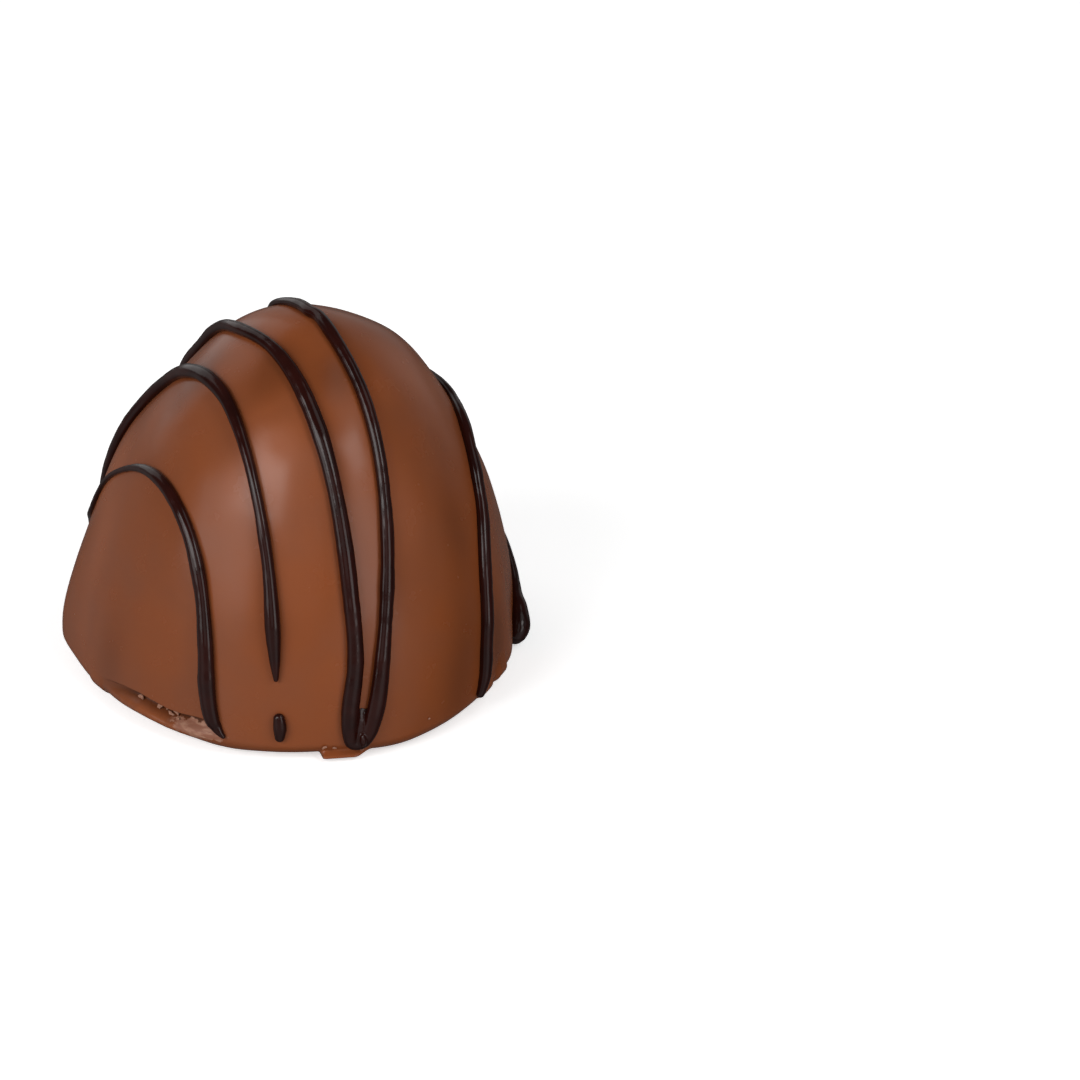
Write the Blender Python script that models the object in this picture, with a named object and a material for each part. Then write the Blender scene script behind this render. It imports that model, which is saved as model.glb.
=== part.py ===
"""A dome-shaped chocolate truffle with a zigzag of dark drizzle, at its real size.

The dome is one closed solid. Each strand of drizzle is its own solid, lying a hair clear of
the dome. The object stands on its flat underside, with the middle of its box at the origin.
"""

import math

import bmesh
import bpy
from mathutils import Vector

MM = 0.001

# The dome: a flat foot, a short undercut, a waist near the foot and a rounded crown.
HEIGHT = 31.1 * MM
WAIST_RADIUS = 18.9 * MM
WAIST_HEIGHT = 1.8 * MM
FOOT_RADIUS = 15.9 * MM
CROWN_POWER = 1.70  # 2 is an ellipse seen from the side, less is more pointed
SIDE_POWER = 1.86  # 2 is an ellipse, less is a straighter flank
SIDE_POWER_SWING = -0.30  # added on the +X side, taken off on the -X side
LEAN = Vector((3.0 * MM, -1.4 * MM))  # how far the crown stands off the middle of the foot
CORE = Vector((1.3 * MM, 0.0, 12.0 * MM))  # swells push out from here

# The plan isn't quite round: small shares of the radius, each with its bearing.
OVAL_SHARE = 0.02
OVAL_BEARING = math.radians(-56)
TRIANGLE_SHARE = 0.025
TRIANGLE_BEARING = math.radians(45)

# Soft swells and hollows of the dipped coat: place on the map, spread there, and height.
SWELLS = (
    (-0.12, 0.08, 0.15, 0.12 * MM),
    (-0.21, 0.11, 0.12, 0.28 * MM),
    (-0.36, 0.11, 0.12, -0.28 * MM),
    (-0.60, 0.10, 0.16, 0.28 * MM),
    (0.10, 0.12, 0.15, -0.22 * MM),
    (0.28, 0.18, 0.18, 0.52 * MM),
    (0.50, 0.20, 0.18, -0.25 * MM),
    (0.97, -0.05, 0.25, -0.45 * MM),
    (1.00, -0.22, 0.14, 0.45 * MM),
    (0.75, -0.70, 0.25, 0.30 * MM),
    (0.50, -0.95, 0.22, 0.50 * MM),
    (0.05, -1.05, 0.20, 0.08 * MM),
    (-0.28, -1.03, 0.20, 0.22 * MM),
    (-0.50, -0.90, 0.30, -0.20 * MM),
    (-0.85, -0.55, 0.30, -0.12 * MM),
    (-0.94, 0.00, 0.16, 0.80 * MM),
    (-0.80, 0.06, 0.13, -0.15 * MM),
)

# On the dome's map the crown is at (0, 0), the waist is 1 from it and the foot 1.2.
FOOT_REACH = 1.2
FOOT_FADE_SHARE = 0.4  # swells die out over this share of the waist's height
MAP_STEP = 0.002  # for slopes on the map
BEARINGS = 60
CROWN_RINGS = 20
UNDERCUT_RINGS = 4

# Drizzle: flattened threads, with a section at every step and more of them round a turn.
THREAD_GAP = 0.3 * MM
THICKNESS_SHARE = 0.55  # of a strand's width
THREAD_SIDES = 8
THREAD_STEP = 1.5 * MM
TURN_STEP = 0.35 * MM
TURN_ANGLE = math.radians(24)
ROUTE_SHARES = 40  # small steps between two points of a route, when it is followed
TIP_RINGS = 3
SHARP_ANGLE = math.radians(50)

# Routes of the strands on the dome's map: to the right, to the back and width in mm, front
# end first. The two loops run from one back end to the other, round their turn near the foot.
FAR_LEFT_ROUTE = (
    (-0.245, -0.950, 0.80), (-0.280, -0.900, 1.20), (-0.295, -0.840, 1.40), (-0.295, -0.750, 1.30),
    (-0.315, -0.600, 1.20), (-0.415, -0.360, 1.10), (-0.490, -0.230, 0.90), (-0.560, -0.125, 0.60),
    (-0.645, -0.005, 0.60), (-0.720, 0.075, 0.60), (-0.770, 0.230, 0.60), (-0.820, 0.340, 0.60),
)
LEFT_ROUTE = (
    (-0.035, -0.835, 0.60), (-0.045, -0.790, 1.00), (-0.075, -0.655, 1.10), (-0.135, -0.475, 0.90),
    (-0.195, -0.335, 1.00), (-0.255, -0.200, 1.20), (-0.320, -0.070, 1.20), (-0.380, 0.015, 1.15),
    (-0.465, 0.090, 1.05), (-0.575, 0.140, 0.95), (-0.680, 0.245, 0.90), (-0.750, 0.380, 0.90),
)
LEFT_DROP_ROUTE = ((-0.015, -0.930, 1.00), (-0.010, -0.945, 1.10), (-0.010, -0.970, 0.90))
FRONT_LOOP_ROUTE = (
    (-0.800, 0.620, 1.00), (-0.530, 0.410, 1.00), (-0.425, 0.325, 1.00), (-0.350, 0.220, 1.00),
    (-0.260, 0.107, 1.00), (-0.190, -0.015, 1.00), (-0.110, -0.150, 1.10), (-0.020, -0.290, 1.35),
    (0.070, -0.440, 1.35), (0.175, -0.655, 1.35), (0.228, -0.780, 1.30), (0.243, -0.885, 1.20),
    (0.262, -0.935, 1.00), (0.288, -0.958, 0.90), (0.316, -0.945, 1.00), (0.332, -0.890, 1.20),
    (0.330, -0.840, 1.30), (0.316, -0.745, 1.30), (0.265, -0.530, 1.15), (0.205, -0.375, 1.05),
    (0.150, -0.270, 1.10), (0.040, -0.110, 1.10), (-0.030, 0.010, 1.10), (-0.085, 0.105, 1.00),
    (-0.098, 0.240, 0.95), (-0.210, 0.540, 0.95), (-0.360, 0.730, 0.95),
)
RIGHT_ROUTE = (
    (0.765, -0.590, 0.70), (0.745, -0.550, 1.00), (0.710, -0.490, 1.15), (0.660, -0.370, 1.15),
    (0.600, -0.185, 1.10), (0.550, -0.070, 1.00), (0.505, 0.065, 1.00), (0.465, 0.185, 1.00),
    (0.415, 0.265, 0.95), (0.350, 0.390, 0.95), (0.160, 0.640, 0.95), (-0.220, 0.930, 0.95),
)
RIGHT_LOOP_ROUTE = (
    (0.220, 0.880, 0.95), (0.520, 0.590, 1.00), (0.790, 0.350, 1.05), (0.925, 0.175, 1.10),
    (0.960, 0.070, 1.00), (0.985, 0.005, 0.90), (1.020, -0.010, 0.90), (1.042, 0.040, 0.95),
    (1.010, 0.130, 1.10), (0.880, 0.340, 1.00), (0.630, 0.660, 0.95), (0.490, 0.820, 0.95),
)

STRANDS = (
    ("drizzle_far_left", FAR_LEFT_ROUTE),
    ("drizzle_left", LEFT_ROUTE),
    ("drizzle_left_drop", LEFT_DROP_ROUTE),
    ("drizzle_front_loop", FRONT_LOOP_ROUTE),
    ("drizzle_right", RIGHT_ROUTE),
    ("drizzle_right_loop", RIGHT_LOOP_ROUTE),
)

# Colour, roughness and metallic value of each material.
MILK_CHOCOLATE = ("milk_chocolate", (0.180, 0.065, 0.028), 0.42, 0.0)
DARK_CHOCOLATE = ("dark_chocolate", (0.018, 0.008, 0.007), 0.28, 0.0)


def clear_scene():
    for obj in list(bpy.data.objects):
        bpy.data.objects.remove(obj, do_unlink=True)


def make_material(name, colour, roughness, metallic):
    material = bpy.data.materials.new(name)
    material.use_nodes = True
    shader = material.node_tree.nodes["Principled BSDF"]
    shader.inputs["Base Color"].default_value = (*colour, 1.0)
    shader.inputs["Roughness"].default_value = roughness
    shader.inputs["Metallic"].default_value = metallic
    return material


def plan_factor(bearing):
    """The plan's radius at this bearing, as a share of a true circle's."""
    oval = OVAL_SHARE * math.cos(2 * (bearing - OVAL_BEARING))
    triangle = TRIANGLE_SHARE * math.cos(3 * (bearing - TRIANGLE_BEARING))
    return 1 + oval + triangle


def plain_dome_point(bearing, reach):
    """A point of the dome without its swells; reach is 0 at the crown, 1 at the waist."""
    side_power = SIDE_POWER + SIDE_POWER_SWING * math.cos(bearing)
    if reach <= 1:
        angle = reach * math.pi / 2
        radius = WAIST_RADIUS * math.sin(angle) ** (2 / side_power)
        rise = max(math.cos(angle), 0.0) ** (2 / CROWN_POWER)
        height = WAIST_HEIGHT + (HEIGHT - WAIST_HEIGHT) * rise
    else:
        angle = (reach - 1) / (FOOT_REACH - 1) * math.pi / 2
        radius = FOOT_RADIUS + (WAIST_RADIUS - FOOT_RADIUS) * math.cos(angle)
        height = WAIST_HEIGHT * (1 - math.sin(angle))
    radius *= plan_factor(bearing)
    lean = LEAN * (height / HEIGHT)
    return Vector((radius * math.cos(bearing) + lean.x, radius * math.sin(bearing) + lean.y, height))


def map_point(right, back):
    """A point of the dome's surface, from its place on the dome's map."""
    point = plain_dome_point(math.atan2(back, right), math.hypot(right, back))
    swell = 0.0
    for at_right, at_back, spread, height in SWELLS:
        square = (right - at_right) ** 2 + (back - at_back) ** 2
        swell += height * math.exp(-square / spread ** 2)
    foot_fade = min(1.0, point.z / (FOOT_FADE_SHARE * WAIST_HEIGHT))
    return point + (point - CORE).normalized() * (swell * foot_fade)


def map_normal(right, back):
    """The outward normal of the dome at a point of its map."""
    along_x = map_point(right + MAP_STEP, back) - map_point(right - MAP_STEP, back)
    along_y = map_point(right, back + MAP_STEP) - map_point(right, back - MAP_STEP)
    return along_x.cross(along_y).normalized()


def finish_object(name, mesh_builder, material):
    """Turns a bmesh into a named object with smooth shading and one material."""
    bmesh.ops.recalc_face_normals(mesh_builder, faces=mesh_builder.faces)
    mesh = bpy.data.meshes.new(name)
    mesh_builder.to_mesh(mesh)
    mesh_builder.free()
    mesh.materials.append(material)
    mesh.shade_smooth()
    mesh.set_sharp_from_angle(angle=SHARP_ANGLE)
    obj = bpy.data.objects.new(name, mesh)
    bpy.context.collection.objects.link(obj)
    return obj


def bridge_rings(builder, ring_a, ring_b):
    count = len(ring_a)
    for i in range(count):
        j = (i + 1) % count
        builder.faces.new((ring_a[i], ring_a[j], ring_b[j], ring_b[i]))


def fan(builder, ring, tip):
    count = len(ring)
    for i in range(count):
        builder.faces.new((ring[i], ring[(i + 1) % count], tip))


def make_dome(material):
    """The whole truffle: crown, flank, undercut and flat foot in one closed body."""
    builder = bmesh.new()
    crown_reaches = [(i + 1) / CROWN_RINGS for i in range(CROWN_RINGS)]
    undercut_step = (FOOT_REACH - 1) / UNDERCUT_RINGS
    undercut_reaches = [1 + undercut_step * (i + 1) for i in range(UNDERCUT_RINGS)]
    rings = []
    for reach in crown_reaches + undercut_reaches:
        ring = []
        for i in range(BEARINGS):
            bearing = 2 * math.pi * i / BEARINGS
            place = map_point(reach * math.cos(bearing), reach * math.sin(bearing))
            ring.append(builder.verts.new(place))
        rings.append(ring)
    fan(builder, rings[0], builder.verts.new(map_point(0, 0)))
    for ring_a, ring_b in zip(rings, rings[1:]):
        bridge_rings(builder, ring_a, ring_b)
    builder.faces.new(rings[-1])
    return finish_object("truffle_body", builder, material)


def smooth_route(route):
    """A smooth curve through a route's knots, in small steps of place and width."""
    knots = [Vector(knot) for knot in route]
    last = len(knots) - 1
    gaps = [(knots[i + 1].xy - knots[i].xy).length for i in range(last)]
    slopes = [(knots[i + 1] - knots[i]) / gaps[i] for i in range(last)]
    leads = [
        (slopes[i - 1] * gaps[i] + slopes[i] * gaps[i - 1]) / (gaps[i - 1] + gaps[i])
        for i in range(1, last)
    ]
    leads.insert(0, (slopes[0] * 3 - leads[0]) / 2)
    leads.append((slopes[-1] * 3 - leads[-1]) / 2)
    curve = []
    for i in range(last):
        for k in range(ROUTE_SHARES):
            share = k / ROUTE_SHARES
            bend = leads[i] * (1 - share) - leads[i + 1] * share
            blend = share * share * (3 - 2 * share)
            along = knots[i] + (knots[i + 1] - knots[i]) * blend
            curve.append(along + bend * (gaps[i] * share * (1 - share)))
    return [*curve, knots[-1]]


def strand_knots(route):
    """A strand's sections along its route: one a step apart, and closer where it turns sharply."""
    fine = smooth_route(route)
    points = [map_point(knot.x, knot.y) for knot in fine]
    knots = [fine[0]]
    last_point = points[0]
    last_way = (points[1] - points[0]).normalized()
    for i in range(1, len(fine) - 1):
        gone = (points[i] - last_point).length
        way = (points[i + 1] - points[i]).normalized()
        turned = way.angle(last_way)
        if gone >= THREAD_STEP or (gone >= TURN_STEP and turned >= TURN_ANGLE):
            knots.append(fine[i])
            last_point = points[i]
            last_way = way
    if (points[-1] - last_point).length < TURN_STEP:
        knots.pop()
    knots.append(fine[-1])
    return knots


def section(builder, centre, frame, half_width):
    """One flattened round ring of a strand, across its run."""
    across, outward = frame
    ring = []
    for i in range(THREAD_SIDES):
        angle = 2 * math.pi * i / THREAD_SIDES
        offset = across * (half_width * math.cos(angle))
        offset += outward * (half_width * THICKNESS_SHARE * math.sin(angle))
        ring.append(builder.verts.new(centre + offset))
    return ring


def rounded_end(builder, centre, way, frame, half_width):
    """The tip of a strand and the shrinking rings that lead to it."""
    sections = []
    for k in range(1, TIP_RINGS):
        angle = math.pi / 2 * k / TIP_RINGS
        spot = centre + way * (half_width * math.sin(angle))
        sections.append(section(builder, spot, frame, half_width * math.cos(angle)))
    tip = builder.verts.new(centre + way * half_width)
    return tip, sections


def make_strand(name, route, material):
    """A flattened round thread that follows its route a hair above the dome."""
    knots = strand_knots(route)
    last = len(knots) - 1
    half_widths = [knot.z * MM / 2 for knot in knots]
    normals = [map_normal(knot.x, knot.y) for knot in knots]
    centres = []
    for knot, normal, half_width in zip(knots, normals, half_widths):
        clear = THREAD_GAP + half_width * THICKNESS_SHARE
        centres.append(map_point(knot.x, knot.y) + normal * clear)
    builder = bmesh.new()
    rings = []
    for i, (centre, normal, half_width) in enumerate(zip(centres, normals, half_widths)):
        along = (centres[min(i + 1, last)] - centres[max(i - 1, 0)]).normalized()
        across = along.cross(normal).normalized()
        frame = (across, across.cross(along))
        if i == 0:
            tip, sections = rounded_end(builder, centre, -along, frame, half_width)
            fan(builder, sections[-1], tip)
            rings.extend(reversed(sections))
        rings.append(section(builder, centre, frame, half_width))
        if i == last:
            tip, sections = rounded_end(builder, centre, along, frame, half_width)
            rings.extend(sections)
            fan(builder, sections[-1], tip)
    for ring_a, ring_b in zip(rings, rings[1:]):
        bridge_rings(builder, ring_a, ring_b)
    return finish_object(name, builder, material)


def stand_on_origin(objects):
    """Moves every mesh so that the middle of the whole object's underside is the origin."""
    points = [vertex.co for obj in objects for vertex in obj.data.vertices]
    middle_x = (min(p.x for p in points) + max(p.x for p in points)) / 2
    middle_y = (min(p.y for p in points) + max(p.y for p in points)) / 2
    lowest = min(p.z for p in points)
    for obj in objects:
        obj.location = (-middle_x, -middle_y, -lowest)


def main():
    clear_scene()
    milk = make_material(*MILK_CHOCOLATE)
    dark = make_material(*DARK_CHOCOLATE)
    objects = [make_dome(milk)]
    for name, route in STRANDS:
        objects.append(make_strand(name, route, dark))
    stand_on_origin(objects)


main()
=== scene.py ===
"""Looks for the chocolate truffle: its dipped coat, its foot, its drizzle, and a plain studio.

Run as a script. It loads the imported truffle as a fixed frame, then dips, drizzles and lights it.
"""

import math

import bmesh
import bpy
import numpy as np
from bpy.props import FloatProperty, FloatVectorProperty, PointerProperty
from mathutils import Matrix, Quaternion, Vector, noise


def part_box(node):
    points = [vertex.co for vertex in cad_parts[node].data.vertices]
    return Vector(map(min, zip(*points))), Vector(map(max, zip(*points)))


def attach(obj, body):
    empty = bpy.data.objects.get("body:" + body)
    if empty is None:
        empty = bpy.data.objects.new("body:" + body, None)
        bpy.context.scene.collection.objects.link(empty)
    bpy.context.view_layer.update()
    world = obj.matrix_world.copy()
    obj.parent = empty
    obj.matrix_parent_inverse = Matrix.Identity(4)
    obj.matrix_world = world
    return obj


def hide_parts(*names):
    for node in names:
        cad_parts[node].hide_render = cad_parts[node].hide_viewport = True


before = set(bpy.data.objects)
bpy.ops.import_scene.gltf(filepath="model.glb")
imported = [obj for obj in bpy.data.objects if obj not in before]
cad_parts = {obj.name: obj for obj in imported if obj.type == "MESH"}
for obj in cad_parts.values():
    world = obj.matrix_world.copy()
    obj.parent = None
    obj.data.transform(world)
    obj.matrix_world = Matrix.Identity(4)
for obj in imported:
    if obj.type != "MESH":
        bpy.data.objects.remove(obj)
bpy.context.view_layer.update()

bl_info = {
    "name": "Chocolate truffle looks",
    "version": (1, 0, 0),
    "blender": (4, 5, 0),
    "location": "View3D > Sidebar > Truffle",
    "description": "Dips, drizzles and lights a chocolate truffle over its packed frame",
    "category": "Object",
}

BODY = "root"
MM = 0.001

# The dome, as the frame has it: flat foot, short undercut, waist near the foot, rounded crown.
# A point is placed on its map by how far to the right and to the back it lies: 0, 0 is the
# crown, and the waist is 1 away from it.
HEIGHT = 31.1 * MM
WAIST_RADIUS = 18.9 * MM
WAIST_HEIGHT = 1.8 * MM
FOOT_RADIUS = 15.9 * MM
CROWN_POWER = 1.70
SIDE_POWER = 1.86
SIDE_POWER_SWING = -0.30
LEAN = (3.0 * MM, -1.4 * MM)
CORE = (1.3 * MM, 0.0, 12.0 * MM)
OVAL_SHARE = 0.02
OVAL_BEARING = math.radians(-56)
TRIANGLE_SHARE = 0.025
TRIANGLE_BEARING = math.radians(45)
FOOT_REACH = 1.2
FOOT_FADE_SHARE = 0.4
MAP_STEP = 0.002  # for slopes

# Soft swells of the coat: place on the map, spread, height.
SWELLS = (
    (-0.12, 0.08, 0.15, 0.12 * MM),
    (-0.21, 0.11, 0.12, 0.28 * MM),
    (-0.36, 0.11, 0.12, -0.28 * MM),
    (-0.60, 0.10, 0.16, 0.28 * MM),
    (-0.08, -0.43, 0.12, 0.13 * MM),
    (0.16, -0.37, 0.10, 0.10 * MM),
    (0.10, 0.12, 0.15, -0.22 * MM),
    (0.28, 0.18, 0.18, 0.52 * MM),
    (0.50, 0.20, 0.18, -0.25 * MM),
    (0.97, -0.05, 0.25, -0.45 * MM),
    (1.00, -0.22, 0.14, 0.45 * MM),
    (0.75, -0.70, 0.25, 0.30 * MM),
    (0.50, -0.95, 0.22, 0.50 * MM),
    (0.05, -1.05, 0.20, 0.08 * MM),
    (-0.28, -1.03, 0.20, 0.22 * MM),
    (-0.50, -0.90, 0.30, -0.20 * MM),
    (-0.85, -0.55, 0.30, -0.12 * MM),
    (-0.94, 0.00, 0.16, 0.80 * MM),
    (-0.80, 0.06, 0.13, -0.15 * MM),
)

# Patches of painted highlight and painted shade in the coat: place on the map, spread, and how
# much paler (darker below 0).
PAINTED_LIGHT_PATCHES = (
    (-0.09, -0.41, 0.10, 0.80),
    (-0.19, -0.44, 0.07, 0.50),
    (-0.12, -0.25, 0.10, -0.60),
    (0.07, -0.24, 0.08, -0.60),
    (-0.10, -0.14, 0.08, -0.25),
    (-0.08, -0.02, 0.07, 0.35),
    (-0.29, -0.06, 0.08, -0.60),
    (-0.38, -0.12, 0.08, -0.45),
    (0.22, -0.22, 0.06, 0.30),
    (0.30, -0.08, 0.10, 0.40),
    (0.40, 0.00, 0.13, 0.50),
    (0.44, 0.11, 0.06, 0.90),
    (0.31, -0.47, 0.11, 0.50),
    (0.51, -0.37, 0.11, -0.50),
    (0.44, -0.20, 0.08, -0.30),
    (0.62, -0.52, 0.10, -0.30),
    (0.67, -0.66, 0.13, -0.50),
    (0.82, -0.38, 0.12, -0.75),
    (-0.16, -0.61, 0.13, 0.30),
    (0.39, -0.66, 0.12, 0.15),
    (-0.62, 0.00, 0.10, 0.80),
    (-0.70, -0.18, 0.11, 0.50),
    (-0.86, -0.28, 0.10, 0.30),
    (-0.76, -0.52, 0.14, -0.45),
    (0.40, 0.45, 0.16, -0.35),
    (-0.15, 0.60, 0.20, 0.30),
    (-0.50, 0.50, 0.15, -0.30),
    (0.75, 0.40, 0.14, 0.25),
)

# The frame's own dome is faceted on this grid, which places its box.
FRAME_BEARINGS = 60
FRAME_REACHES = [(i + 1) / 20 for i in range(20)] + [1 + 0.05 * (i + 1) for i in range(4)]

# The fine coat's grid in degrees and rings: bearings close together round the front, where the
# foot is broken.
FRONT_BEARINGS = (-165.0, -10.0)
FRONT_STEP = 0.5
REST_STEP = 1.0
CROWN_RINGS = 80
FLANK_REACH = 0.90
FLANK_RINGS = 52
UNDERCUT_RINGS = 27
SHARP_ANGLE = math.radians(60)
FOOT_SEARCH = (0.9, 1.15, 200)  # reaches between which a height of the foot is looked for

# The crease over the peeled lip of the foot: bearing in degrees, height, depth.
CREASE = (
    (-149.0, 2.15 * MM, 0.00 * MM),
    (-144.0, 2.55 * MM, 0.14 * MM),
    (-138.0, 2.85 * MM, 0.38 * MM),
    (-132.0, 2.95 * MM, 0.62 * MM),
    (-126.0, 2.78 * MM, 0.80 * MM),
    (-121.5, 2.62 * MM, 0.84 * MM),
    (-117.0, 2.68 * MM, 0.72 * MM),
    (-112.0, 2.88 * MM, 0.52 * MM),
    (-108.5, 2.90 * MM, 0.34 * MM),
    (-105.0, 2.80 * MM, 0.00 * MM),
)
CREASE_SHADE, LIP, PAINTED_LIGHT_MARK = "hollow", "lip", "tone"  # marks on the coat for its colour: painted shade in the crease, painted light through the lip, painted highlight and shade patches
CREASE_EDGE = 0.16 * MM  # how sharply the coat ends over the crease
CREASE_FADE = 0.80 * MM  # how far below it the hollow runs out
LIP_DROP = 1.45 * MM  # how far below the crease the lip stands out most
LIP_WIDTH = 0.70 * MM
LIP_LIT = 1.75 * MM  # how far below the crease the light shines through it most
LIP_SHARE = 0.50  # of the crease's depth
CREASE_SHADE_FADE = 0.92 * CREASE_FADE  # how far below the crease its painted shade runs out
FULL_DEPTH = 0.50 * MM  # depth of the crease from which its painted shade and the lip's painted light are full

# Bits of the foot that stand out low on the edge: first and last bearing in degrees, how
# softly a bit ends at each, how far out it stands, up to what height.
EDGE_BITS = (
    (-80.3, -70.5, 0.8, 5.0, 1.35 * MM, 1.00 * MM),
    (-24.0, -19.0, 0.8, 1.5, 0.35 * MM, 3.40 * MM),
    (-33.0, -28.0, 1.2, 1.2, 0.30 * MM, 3.00 * MM),
    (-155.0, -148.5, 4.0, 0.8, 0.20 * MM, 2.60 * MM),
)
BIT_FULL_SHARE = 0.35  # the share of that height below which it stands out in full

# The coat's slow unevenness: length, height.
RIPPLES = ((8.0 * MM, 0.130 * MM), (3.6 * MM, 0.050 * MM), (1.3 * MM, 0.005 * MM))

# Strands: place on the map, width and height there in mm.
FAR_LEFT_ROUTE = (
    (-0.240, -0.960, 0.35, 0.35), (-0.280, -0.910, 1.20, 0.70), (-0.295, -0.840, 1.45, 0.85),
    (-0.295, -0.750, 1.30, 0.85), (-0.315, -0.600, 1.20, 0.80), (-0.415, -0.360, 1.10, 0.75),
    (-0.490, -0.230, 0.85, 0.60), (-0.560, -0.125, 0.50, 0.42), (-0.645, -0.005, 0.45, 0.40),
    (-0.720, 0.075, 0.45, 0.40), (-0.770, 0.230, 0.45, 0.40), (-0.820, 0.340, 0.50, 0.40),
)
LEFT_ROUTE = (
    (-0.035, -0.840, 0.40, 0.45), (-0.045, -0.790, 1.05, 0.80), (-0.075, -0.655, 1.05, 0.82),
    (-0.135, -0.475, 0.90, 0.80), (-0.195, -0.335, 1.00, 0.82), (-0.255, -0.200, 1.22, 0.85),
    (-0.320, -0.070, 1.20, 0.85), (-0.380, 0.015, 1.15, 0.85), (-0.465, 0.090, 1.05, 0.85),
    (-0.575, 0.140, 0.95, 0.80), (-0.680, 0.245, 0.90, 0.75), (-0.750, 0.380, 0.90, 0.75),
)
LEFT_DROP_ROUTE = (
    (-0.015, -0.925, 0.95, 0.60), (-0.010, -0.942, 1.10, 0.66), (-0.008, -0.972, 0.80, 0.50),
)
FRONT_LOOP_ROUTE = (
    (-0.800, 0.620, 1.00, 0.80), (-0.530, 0.410, 1.00, 0.80), (-0.425, 0.325, 1.00, 0.84),
    (-0.350, 0.220, 1.00, 0.84), (-0.260, 0.107, 1.00, 0.85), (-0.190, -0.015, 1.00, 0.85),
    (-0.110, -0.150, 1.10, 0.86), (-0.020, -0.290, 1.38, 0.88), (0.070, -0.440, 1.34, 0.88),
    (0.175, -0.655, 1.36, 0.90), (0.228, -0.780, 1.36, 0.90), (0.243, -0.885, 1.40, 0.80),
    (0.257, -0.925, 1.25, 0.75), (0.284, -0.958, 1.15, 0.65), (0.314, -0.950, 1.15, 0.65),
    (0.330, -0.915, 1.30, 0.75), (0.332, -0.860, 1.45, 0.84), (0.316, -0.745, 1.30, 0.90),
    (0.265, -0.530, 1.15, 0.88), (0.205, -0.375, 1.06, 0.85), (0.150, -0.270, 1.08, 0.85),
    (0.040, -0.110, 1.12, 0.85), (-0.033, 0.020, 1.02, 0.76), (-0.075, 0.084, 0.98, 0.64),
    (-0.115, 0.145, 0.92, 0.54), (-0.140, 0.235, 0.90, 0.50), (-0.180, 0.420, 0.92, 0.62),
    (-0.270, 0.620, 0.95, 0.80), (-0.360, 0.740, 0.95, 0.80),
)
RIGHT_ROUTE = (
    (0.803, -0.582, 0.75, 0.60), (0.780, -0.540, 1.02, 0.82), (0.732, -0.480, 1.16, 0.88),
    (0.660, -0.370, 1.16, 0.88), (0.600, -0.185, 1.08, 0.85), (0.550, -0.070, 1.02, 0.85),
    (0.505, 0.065, 1.00, 0.82), (0.465, 0.180, 0.98, 0.70), (0.410, 0.265, 0.95, 0.58),
    (0.330, 0.365, 0.95, 0.60), (0.150, 0.620, 0.95, 0.80), (-0.220, 0.930, 0.95, 0.80),
)
RIGHT_LOOP_ROUTE = (
    (0.220, 0.880, 0.95, 0.80), (0.520, 0.590, 1.00, 0.80), (0.790, 0.350, 1.05, 0.64),
    (0.925, 0.175, 1.40, 0.80), (0.970, 0.060, 1.75, 1.36), (1.010, 0.000, 1.90, 1.55),
    (1.035, -0.010, 1.80, 1.45), (1.035, 0.045, 1.70, 1.40), (1.000, 0.130, 1.50, 1.15),
    (0.880, 0.340, 1.00, 0.64), (0.630, 0.660, 0.95, 0.80), (0.490, 0.820, 0.95, 0.80),
)
# The film that fills the fork of the front loop.
FORK_FILM_ROUTE = (
    (0.288, -0.868, 0.60, 0.10), (0.290, -0.890, 0.80, 0.35), (0.294, -0.912, 0.95, 0.52),
    (0.300, -0.938, 1.10, 0.58),
)
# A bead left standing on it.
FORK_BEAD_ROUTE = (
    (0.305, -0.920, 0.40, 0.84), (0.312, -0.931, 0.58, 1.02), (0.317, -0.940, 0.40, 0.90),
)
# Each strand: the frame's node, its routes, and whether it touches itself and is fused.
STRANDS = (
    ("drizzle_far_left", (FAR_LEFT_ROUTE,), False),
    ("drizzle_left", (LEFT_ROUTE,), False),
    ("drizzle_left_drop", (LEFT_DROP_ROUTE,), False),
    ("drizzle_front_loop", (FRONT_LOOP_ROUTE, FORK_FILM_ROUTE, FORK_BEAD_ROUTE), True),
    ("drizzle_right", (RIGHT_ROUTE,), False),
    ("drizzle_right_loop", (RIGHT_LOOP_ROUTE,), True),
)
STRAND_SIDES = 20
STRAND_STEP = 0.22 * MM
ROUTE_SHARES = 60  # points of the curve from one knot to the next
TIP_RINGS = 6
TIP_END = 0.02  # the last ring of a tip, as a share of a full one
ROUND_HALF = 0.55  # half of a round strand's thickness, as a share of its height on the coat
FLAT_HALF_MORE = 0.20  # how much more of it a flat strand has, sunk into the coat
FLAT_RATIO = 2.2  # width over height of a flat strand
WOBBLE = ((2.6 * MM, 0.045), (0.9 * MM, 0.015))  # length of the unevenness, share of the width
FUSE_VOXEL = 0.090  # mm
FUSE_SMOOTHING = 6

CREASE_SHADE_SHARE = 0.26  # the coat's painted shade in the crease, as a share of the warm tone
PAINTED_SHADE_SHARE = 0.50  # and in its darkest patch of painted shade
PAINTED_HIGHLIGHT_SHARE = 1.45  # the palest patch of painted highlight, as a share of the cool tone
PAINTED_SHEEN_FADE = (-14.0 * MM, 2.0 * MM)  # the coat is cooler and greyer to the left of these, a painted sheen of the light at the left
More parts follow.
